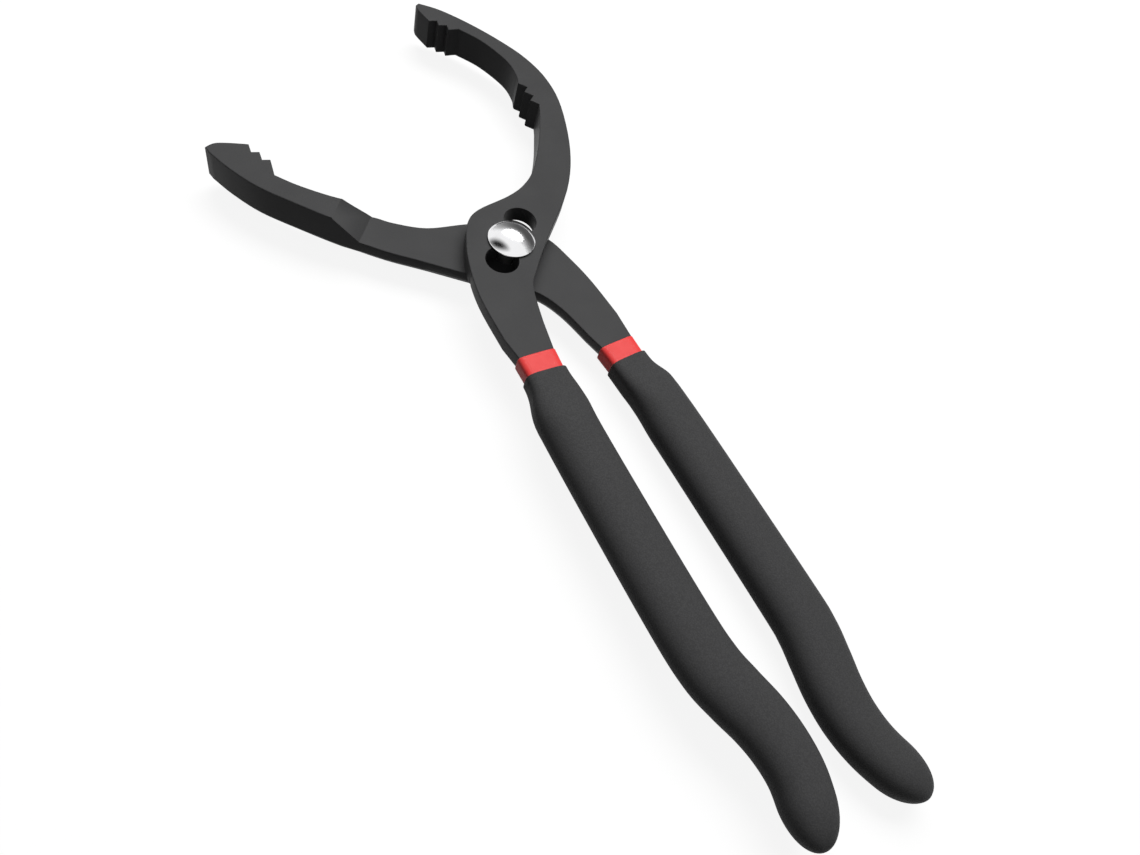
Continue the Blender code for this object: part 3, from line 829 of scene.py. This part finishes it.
@dataclass
class Handle:
    """A dipped handle: a red liner over the steel, and a black grip over the liner.

    Distances are measured along the handle's middle line, from the top of the red band.
    """

    side: Side
    height: float
    top_mm: Sequence[Plan]
    straight: float
    bend_mm: Sequence[Plan]
    neck_length: float
    shoulder: float
    inner_shoulder: float
    red: bpy.types.Material
    black: bpy.types.Material
    arm_width: float = 11.4 * MM
    tang_width: float = 9.6 * MM
    tang_taper: float = 20.0 * MM
    steel_thickness: float = 5.6 * MM
    tang_short: float = 12.0 * MM
    liner_growth: float = 1.0 * MM
    liner_squareness: float = 5.5
    liner_lip: float = 0.22 * MM
    pocket_gap: float = 0.1 * MM
    pocket_squareness: float = 14.0
    band: float = 6.5 * MM
    grip_lip: float = 0.25 * MM
    neck_width: float = 13.2 * MM
    neck_thickness: float = 8.4 * MM
    neck_squareness: float = 4.2
    swell: float = 20.0 * MM
    grip_width: float = 17.1 * MM
    grip_thickness: float = 12.0 * MM
    grip_squareness: float = 2.4
    end_width: float = 13.8 * MM
    taper: float = 50.0 * MM
    least_spacing: float = 0.5 * MM
    end_round: float = 11.8 * MM
    end_short: float = 0.2 * MM
    end_steps: int = 16
    lip_steps: int = 5
    curve_steps: int = 8
    heading_reach: int = 4
    around: int = 96
    line: list[Vector] = field(init=False)
    lengths: list[float] = field(init=False)

    def __post_init__(self) -> None:
        """Work out the middle line and the distance of each of its points."""
        top = [Vector(point) * MM for point in self.top_mm]
        bend_start = top[-1] - Vector((0.0, self.straight))
        bend = [bend_start + Vector(point) * MM for point in self.bend_mm]
        self.line = smooth_run(top + bend, self.curve_steps)
        self.lengths = [0.0]
        for start, end in zip(self.line, self.line[1:]):
            self.lengths.append(self.lengths[-1] + (end - start).length)

    def build(self, loft: SkinLoft) -> None:
        """Make the liner and the grip.

        Args:
            loft: The tree that skins them.
        """
        label = self.side.value
        liner = loft.skin(f"{label}_liner_coat", self._liner_stations(), self.around, self.red)
        fit(liner, f"{label}_liner", label)
        grip = loft.skin(f"{label}_grip_sleeve", self._grip_stations(), self.around, self.black)
        fit(grip, f"{label}_grip", label)

    def _section(self, distance: float, width: float, thickness: float, squareness: float,
                 shift: float) -> Station:
        """Section of a given size at a distance along the handle.

        Args:
            distance: How far down the middle line.
            width: Size across the handle.
            thickness: Size along the bolt's axis.
            squareness: How square its corners are.
            shift: How far it lies off the middle line, towards +X.

        Returns:
            The section.
        """
        last = len(self.line) - 2
        index = next((i for i in range(last) if distance <= self.lengths[i + 1]), last)
        span = self.lengths[index + 1] - self.lengths[index]
        share = (distance - self.lengths[index]) / span
        along = self._heading(index).lerp(self._heading(index + 1), share).normalized()
        point = self.line[index].lerp(self.line[index + 1], share)
        side = Vector((-along.y, along.x, 0.0))
        return Station(Vector((point.x, point.y, self.height)) + side * shift, side, UP, width, thickness,
                       squareness)

    def _heading(self, index: int) -> Vector:
        """Work out the middle line's direction, evened over a few points.

        Args:
            index: The point that it is wanted at.

        Returns:
            A unit vector down the handle.
        """
        before = self.line[max(index - self.heading_reach, 0)]
        after = self.line[min(index + self.heading_reach, len(self.line) - 1)]
        return (after - before).normalized()

    def _between(self, start: float, end: float) -> list[float]:
        """Distances of the line's own points between two distances, and those two."""
        inside = [length for length in self.lengths
                  if start + self.least_spacing < length < end - self.least_spacing]
        return [start, *inside, end]

    def _steel_width(self, distance: float) -> float:
        """Width of the steel inside the handle."""
        share = min(max(distance / self.tang_taper, 0.0), 1.0)
        return self.arm_width + (self.tang_width - self.arm_width) * share

    def _sock(self, top: float, outer_end: float, inner_end: float, end_round: float, lip: float,
              outside: Callable[[float], Size], inside: Callable[[float], Size]) -> list[Station]:
        """Sections of a closed sock, up its outside, over its lip and down its pocket.

        Args:
            top: Distance of its open end.
            outer_end: Distance of its closed end outside.
            inner_end: Distance of its closed end inside.
            end_round: Length of its rounded end.
            lip: Radius of the edge at its open end.
            outside: Width, thickness, squareness and shift of the outside at a distance.
            inside: The same of the pocket.

        Returns:
            Sections from the closed end outside to the closed end inside.
        """
        rows = []
        round_start = outer_end - end_round
        for step in range(self.end_steps):
            turn = math.pi / 2 * (1 - step / self.end_steps)
            distance = round_start + end_round * math.sin(turn)
            width, thickness, *rest = outside(distance)
            rows.append((distance, width * math.cos(turn), thickness * math.cos(turn), *rest))
        for distance in reversed(self._between(top + lip, round_start)):
            rows.append((distance, *outside(distance)))
        for step in range(1, self.lip_steps + 1):
            turn = math.pi / 2 * step / self.lip_steps
            width, thickness, *rest = outside(top)
            inset = 2 * lip * (1 - math.cos(turn))
            rows.append((top + lip * (1 - math.sin(turn)), width - inset, thickness - inset, *rest))
        for distance in self._between(top, inner_end):
            rows.append((distance, *inside(distance)))
        rows.append((inner_end, 0.0, 0.0, self.pocket_squareness, 0.0))
        return [self._section(*row) for row in rows]

    def _liner_stations(self) -> list[Station]:
        """Work out the red liner's sections.

        Returns:
            Sections from its closed end outside to its closed end inside.
        """
        end = self.lengths[-1] - self.tang_short

        def outside(distance: float) -> Size:
            """Size of the liner's outside."""
            return (self._steel_width(distance) + self.liner_growth,
                    self.steel_thickness + self.liner_growth, self.liner_squareness, 0.0)

        def inside(distance: float) -> Size:
            """Size of the pocket that the steel fills."""
            return (self._steel_width(distance) + 2 * self.pocket_gap,
                    self.steel_thickness + 2 * self.pocket_gap, self.pocket_squareness, 0.0)

        return self._sock(0.0, end + self.liner_growth / 2, end + self.pocket_gap, self.liner_lip,
                          self.liner_lip, outside, inside)

    def _grip_stations(self) -> list[Station]:
        """Work out the black grip's sections.

        Returns:
            Sections from its closed end outside to its closed end inside.
        """
        whole = self.lengths[-1]
        inwards = 1.0 if self.side is Side.FRONT else -1.0
        growth = (self.grip_width - self.neck_width) / 2

        def outside(distance: float) -> Size:
            """Size of the grip's outside before its end is rounded."""
            below_neck = distance - self.band - self.neck_length
            outer = growth * ease(below_neck / self.shoulder)
            inner = growth * ease(below_neck / self.inner_shoulder)
            taper = ease((distance - whole + self.taper) / self.taper)
            width = self.neck_width + outer + inner + (self.end_width - self.grip_width) * taper
            swell = ease((distance - self.band) / self.swell)
            thickness = self.neck_thickness + (self.grip_thickness - self.neck_thickness) * swell
            squareness = self.neck_squareness + (self.grip_squareness - self.neck_squareness) * swell
            return width, thickness, squareness, inwards * (inner - outer) / 2

        def inside(distance: float) -> Size:
            """Size of the pocket that the liner fills."""
            room = self.liner_growth + 2 * self.pocket_gap
            return (self._steel_width(distance) + room, self.steel_thickness + room,
                    self.liner_squareness, 0.0)

        inner_end = whole - self.tang_short + self.liner_growth / 2 + self.pocket_gap
        return self._sock(self.band, whole - self.end_short, inner_end, self.end_round, self.grip_lip,
                          outside, inside)


def turned(away: Vector, along: Sequence[float]) -> Matrix:
    """Axes of a flat thing that faces back along a direction.

    Args:
        away: Unit direction from the tool to the thing.
        along: Rough direction of its long side.

    Returns:
        Its long side, its short side and the direction away, as columns.
    """
    long_side = Vector(along)
    long_side = (long_side - away * long_side.dot(away)).normalized()
    return Matrix((long_side, away.cross(long_side), away)).transposed()


@dataclass(frozen=True)
class Card:
    """A studio card with soft edges that polished metal mirrors, and that neither blocks light nor shows."""

    name: str
    heading: Sequence[float]
    along: Sequence[float]
    distance: float
    length: float
    width: float
    grey: float
    core: float

    def build(self, aim: Vector) -> None:
        """Stand the card up, facing the tool.

        Args:
            aim: The point that it faces.
        """
        away = Vector(self.heading).normalized()
        mesh = bpy.data.meshes.new(self.name)
        mesh.from_pydata([(-1, -1, 0), (1, -1, 0), (1, 1, 0), (-1, 1, 0)], [], [(3, 2, 1, 0)])
        mesh.materials.append(self._finish())
        card = add_object(self.name, mesh)
        place = Matrix.Translation(aim + away * self.distance)
        size = Matrix.Diagonal((self.length / 2, self.width / 2, 1.0, 1.0))
        card.matrix_world = place @ turned(away, self.along).to_4x4() @ size
        card.visible_camera = False
        card.visible_diffuse = False
        card.visible_shadow = False

    def _finish(self) -> bpy.types.Material:
        """Grey card that thins out from its core to its edge.

        Returns:
            The card's material.
        """
        material, board = new_material(self.name)
        away = board.vector("LENGTH", {0: object_place(board)}).sibling("Value")
        fade = board.add("ShaderNodeMapRange", {"interpolation_type": "SMOOTHSTEP"},
                         {"Value": away, "From Min": self.core, "From Max": 1.0})
        paper = board.add("ShaderNodeBsdfDiffuse", None, {"Color": (self.grey, self.grey, self.grey, 1.0)})
        clear = board.add("ShaderNodeBsdfTransparent")
        surface = board.add("ShaderNodeMixShader", None, {0: fade, 1: paper, 2: clear})
        board.add("ShaderNodeOutputMaterial", None, {"Surface": surface})
        return material


@dataclass
class Studio:
    """White table and backdrop, one large soft light, cards for the bolt's dome to mirror, and the camera."""

    floor_height: float = -0.3 * MM
    floor_reach: float = 6.0
    floor_glow: float = 0.89
    floor_shade: float = 0.14
    floor_bounce: float = 0.10
    glow_start: float = 0.25
    glow_end: float = 0.9
    sky_light: float = 0.12
    cards: Sequence[Card] = (
        Card("dark_strip", heading=(-0.62, 0.26, 0.74), along=(0.40, -0.92, 0.35), distance=1.0,
             length=2.6, width=0.85, grey=0.02, core=0.10),
        Card("grey_screen", heading=(0.85, 0.44, 0.25), along=(0.46, -0.88, 0.0), distance=0.6,
             length=3.4, width=1.8, grey=0.80, core=0.10),
    )
    aim: Sequence[float] = (-0.01, -0.04, 0.01)
    lamp_heading: Sequence[float] = (0.36, 0.40, 0.84)
    lamp_along: Sequence[float] = (0.62, -0.79, 0.0)
    lamp_distance: float = 1.6
    lamp_length: float = 1.8
    lamp_width: float = 0.9
    lamp_power: float = 28.5
    camera_place: Sequence[float] = (-0.11599, -0.14524, 0.21137)
    camera_right: Sequence[float] = (0.8423, -0.4878, 0.2294)
    camera_up: Sequence[float] = (0.3310, 0.8039, 0.4941)
    lens: float = 26.84
    sensor: float = 36.0
    near: float = 0.01
    far: float = 50.0

    def build(self) -> None:
        """Set up the stage, the light and the camera."""
        bpy.context.scene.view_settings.view_transform = "Standard"
        self._floor()
        self._sky()
        for card in self.cards:
            card.build(Vector(self.aim))
        self._lamp()
        self._camera()

    @staticmethod
    def _seen(board: NodeBoard) -> Wire:
        """Whether a ray shows the background.

        Args:
            board: Board of the material or the world.

        Returns:
            1 for rays from the camera, through glass and off gloss, and 0 for the rest.
        """
        camera = board.add("ShaderNodeLightPath", output="Is Camera Ray")
        clear = camera.math("MAXIMUM", camera.sibling("Is Transmission Ray"))
        return clear.math("MAXIMUM", camera.sibling("Is Glossy Ray"))

    def _floor(self) -> None:
        """White table that keeps a light shadow near the tool."""
        reach = self.floor_reach
        mesh = bpy.data.meshes.new("table")
        corners = [(x * reach, y * reach, self.floor_height) for x, y in ((-1, -1), (1, -1), (1, 1), (-1, 1))]
        mesh.from_pydata(corners, [], [(0, 1, 2, 3)])
        table = add_object("table", mesh)
        material, board = new_material("white_table")
        seen = self._seen(board)
        away = board.vector("LENGTH", {0: object_place(board)}).sibling("Value")
        far = board.add("ShaderNodeMapRange", None, {"Value": away, "From Min": self.glow_start,
                                                     "From Max": self.glow_end})
        glow = self.floor_glow + (1.0 - self.floor_glow) * far
        shade = board.mix(seen, (self.floor_bounce,) * 3, (self.floor_shade,) * 3)
        white = board.add("ShaderNodeEmission", None, {"Strength": seen * glow})
        body = board.add("ShaderNodeBsdfDiffuse", None, {"Color": shade})
        surface = board.add("ShaderNodeAddShader", None, {0: white, 1: body})
        board.add("ShaderNodeOutputMaterial", None, {"Surface": surface})
        mesh.materials.append(material)

    def _sky(self) -> None:
        """White backdrop that gives the tool only a little light."""
        world = bpy.data.worlds.new("white_backdrop")
        world.use_nodes = True
        bpy.context.scene.world = world
        board = NodeBoard(world.node_tree)
        strength = self.sky_light + (1.0 - self.sky_light) * self._seen(board)
        surface = board.add("ShaderNodeBackground", None,
                            {"Color": (1.0, 1.0, 1.0, 1.0), "Strength": strength})
        board.add("ShaderNodeOutputWorld", None, {"Surface": surface})

    def _lamp(self) -> None:
        """Long soft light, above the tool and a little behind it."""
        light = bpy.data.lights.new("softbox", "AREA")
        light.energy = self.lamp_power
        light.shape = "ELLIPSE"
        light.size = self.lamp_length
        light.size_y = self.lamp_width
        away = Vector(self.lamp_heading).normalized()
        turn = turned(away, self.lamp_along)
        lamp = bpy.data.objects.new("softbox", light)
        lamp.matrix_world = Matrix.Translation(Vector(self.aim) + away * self.lamp_distance) @ turn.to_4x4()
        bpy.context.scene.collection.objects.link(lamp)

    def _camera(self) -> None:
        """Camera at the photograph's viewpoint."""
        data = bpy.data.cameras.new("photo_camera")
        data.lens = self.lens
        data.sensor_fit = "HORIZONTAL"
        data.sensor_width = self.sensor
        data.clip_start = self.near
        data.clip_end = self.far
        camera = bpy.data.objects.new("photo_camera", data)
        right = Vector(self.camera_right).normalized()
        up = Vector(self.camera_up)
        up = (up - right * up.dot(right)).normalized()
        turn = Matrix((right, up, right.cross(up))).transposed()
        camera.matrix_world = Matrix.Translation(self.camera_place) @ turn.to_4x4()
        bpy.context.scene.collection.objects.link(camera)
        bpy.context.scene.camera = camera


def main() -> None:
    """Build the pliers' looks piece by piece, and the studio."""
    logging.basicConfig(level=logging.INFO, format="%(name)s: %(message)s")
    for thing in list(bpy.data.objects):
        bpy.data.objects.remove(thing)
    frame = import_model()
    steel = SatinSteel().material()
    chrome = PolishedChrome().material()
    red = DippedRed().material()
    black = GrainedGrip().material()
    loft = SkinLoft()
    for side in Side:
        Lever(side, steel).build(frame["nodes"])
    Pivot(chrome).build(loft)
    Handle(Side.FRONT, height=12.4 * MM,
           top_mm=((-13.2, -40.5), (-13.9, -52.0), (-15.2, -62.5), (-16.1, -88.0)), straight=36.0 * MM,
           bend_mm=((-0.7, 0.0), (-0.2, -14.0), (1.7, -22.5), (3.9, -30.5), (4.9, -38.0), (4.6, -45.5),
                    (2.6, -53.0), (0.0, -62.1)),
           neck_length=1.0 * MM, shoulder=14.5 * MM, inner_shoulder=13.0 * MM,
           red=red, black=black).build(loft)
    Handle(Side.REAR, height=6.5 * MM,
           top_mm=((15.6, -42.5), (16.3, -54.5), (17.3, -61.5), (17.9, -69.0), (18.1, -85.0)),
           straight=47.0 * MM,
           bend_mm=((-0.2, 0.0), (-0.7, -10.5), (-2.3, -18.5), (-4.0, -26.5), (-4.6, -34.5), (-3.6, -42.5),
                    (-0.9, -50.5), (3.0, -59.5)),
           neck_length=3.0 * MM, shoulder=9.0 * MM, inner_shoulder=24.0 * MM,
           red=red, black=black).build(loft)
    Studio().build()
    LOG.info("studio: table, backdrop, cards, light and camera")


if __name__ == "__main__":
    main()
